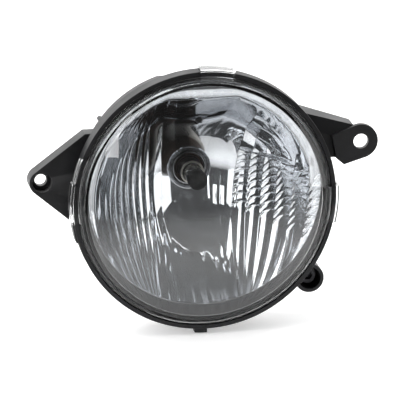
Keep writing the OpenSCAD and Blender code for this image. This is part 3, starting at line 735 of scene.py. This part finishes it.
# ---------------------------------------------------------------- studio
# Matt paper just under the lamp, a white surround and soft lamps. The paper fades out towards the
# camera, and the surround is dark in front for reflections, so the clear lens shows no white veil.
FLOOR_HALF = 1.6
FLOOR_DEEP = 3.2
FADES_FROM, FADES_TO = -0.28, -0.1
floor_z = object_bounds()[0][2] - 0.4 * MM
floor_mesh = bpy.data.meshes.new("studio_floor")
floor_corners = [
    (-FLOOR_HALF, FADES_FROM, floor_z), (FLOOR_HALF, FADES_FROM, floor_z),
    (FLOOR_HALF, FLOOR_DEEP, floor_z), (-FLOOR_HALF, FLOOR_DEEP, floor_z),
]
floor_mesh.from_pydata(floor_corners, [], [(0, 1, 2, 3)])
studio_floor = bpy.data.objects.new("studio_floor", floor_mesh)
bpy.context.scene.collection.objects.link(studio_floor)
paper, tree, surface, place = bare(
    "Seamless paper, matt", Roughness=0.9, Emission_Color=linear("#ffffff"), Emission_Strength=0.3)
paper_colour = add(tree, "Mix", {
    0: patches(tree, place, 40, 0, 1), 6: linear("#f4f4f4"), 7: linear("#fafafa")}, data_type="RGBA")
tree.links.new(paper_colour.outputs[2], surface.inputs["Base Color"])
along_floor = add(tree, "SeparateXYZ", {0: place}).outputs["Y"]
fade_in = add(tree, "MapRange", {"Value": along_floor, "From Min": FADES_FROM, "From Max": FADES_TO})
nothing = add(tree, "BsdfTransparent")
faded = add(tree, "MixShader", {0: fade_in.outputs["Result"], 1: nothing.outputs[0], 2: surface.outputs[0]})
tree.links.new(faded.outputs[0], tree.get_output_node("ALL").inputs["Surface"])
floor_mesh.materials.append(paper)

# Looking along a direction whose part along Y is -0.1 or less is the front, and 0.3 or more the back
DARK_FRONT, BRIGHT_BACK = 0.12, 1.9
FRONT_TO_Y, BACK_FROM_Y = -0.1, 0.3
world = bpy.data.worlds.new("studio")
bpy.context.scene.world = world
world.use_nodes = True
room = world.node_tree
room.nodes.clear()
seen = add(room, "LightPath").outputs["Is Camera Ray"]
toward = add(room, "SeparateXYZ", {0: add(room, "TexCoord").outputs["Generated"]})
front_to_back = add(room, "MapRange", {
    "Value": toward.outputs["Y"], "From Min": FRONT_TO_Y, "From Max": BACK_FROM_Y,
    "To Min": DARK_FRONT, "To Max": BRIGHT_BACK})
shade = add(room, "Mix", {0: seen, 2: front_to_back.outputs["Result"], 3: 1.0}, data_type="FLOAT")
backdrop = add(room, "Background", {"Color": (1, 1, 1, 1), "Strength": shade.outputs[0]})
add(room, "OutputWorld", {"Surface": backdrop.outputs[0]})


def face_middle(thing):
    """Turns a lamp or the camera so that it looks at the middle of the rim."""
    thing.rotation_euler = (-thing.location).to_track_quat("-Z", "Y").to_euler()


def soft_box(name, azimuth, elevation, distance, width, height, power):
    """A rectangular lamp at this azimuth, clockwise from -Y seen from above, and this elevation."""
    az, el = math.radians(azimuth), math.radians(elevation)
    data = bpy.data.lights.new(name, "AREA")
    data.shape = "RECTANGLE"
    data.size, data.size_y = width, height
    data.energy = power
    box = bpy.data.objects.new(name, data)
    spot = np.array([math.sin(az) * math.cos(el), -math.cos(az) * math.cos(el), math.sin(el)]) * distance
    box.location = spot.tolist()
    face_middle(box)
    bpy.context.scene.collection.objects.link(box)


soft_box("soft_box_right", 52, 7, 1.4, 0.8, 1.05, 5.6)
soft_box("soft_box_left", -62, 7, 1.4, 1.0, 1.1, 7.4)
soft_box("soft_box_front_left", -29, 20, 1.5, 0.22, 0.6, 1.3)
soft_box("strip_near_camera", -14, 12, 1.5, 0.09, 0.8, 1.0)
soft_box("soft_box_upper_right", 74, 50, 1.4, 0.45, 1.1, 5.4)
soft_box("soft_box_upper_left", -66, 50, 1.4, 0.45, 1.1, 5.4)
soft_box("soft_box_behind", -150, 58, 1.5, 1.3, 1.0, 14)

CAMERA_AWAY = 2.7
CAMERA_TOWARD = np.array([-0.1756, -0.9438, 0.28])
CAMERA_AIM = np.array([-0.00331, 0.00062, 0.0009])
camera_data = bpy.data.cameras.new("camera")
camera_data.lens = 396.6
camera_data.sensor_width = 36
camera_data.clip_start = 0.01
camera = bpy.data.objects.new("camera", camera_data)
camera.location = (CAMERA_TOWARD * CAMERA_AWAY).tolist()
face_middle(camera)
camera.location = (CAMERA_AIM + CAMERA_TOWARD * CAMERA_AWAY).tolist()
bpy.context.scene.collection.objects.link(camera)
bpy.context.scene.camera = camera
bpy.context.scene.view_settings.view_transform = "Standard"
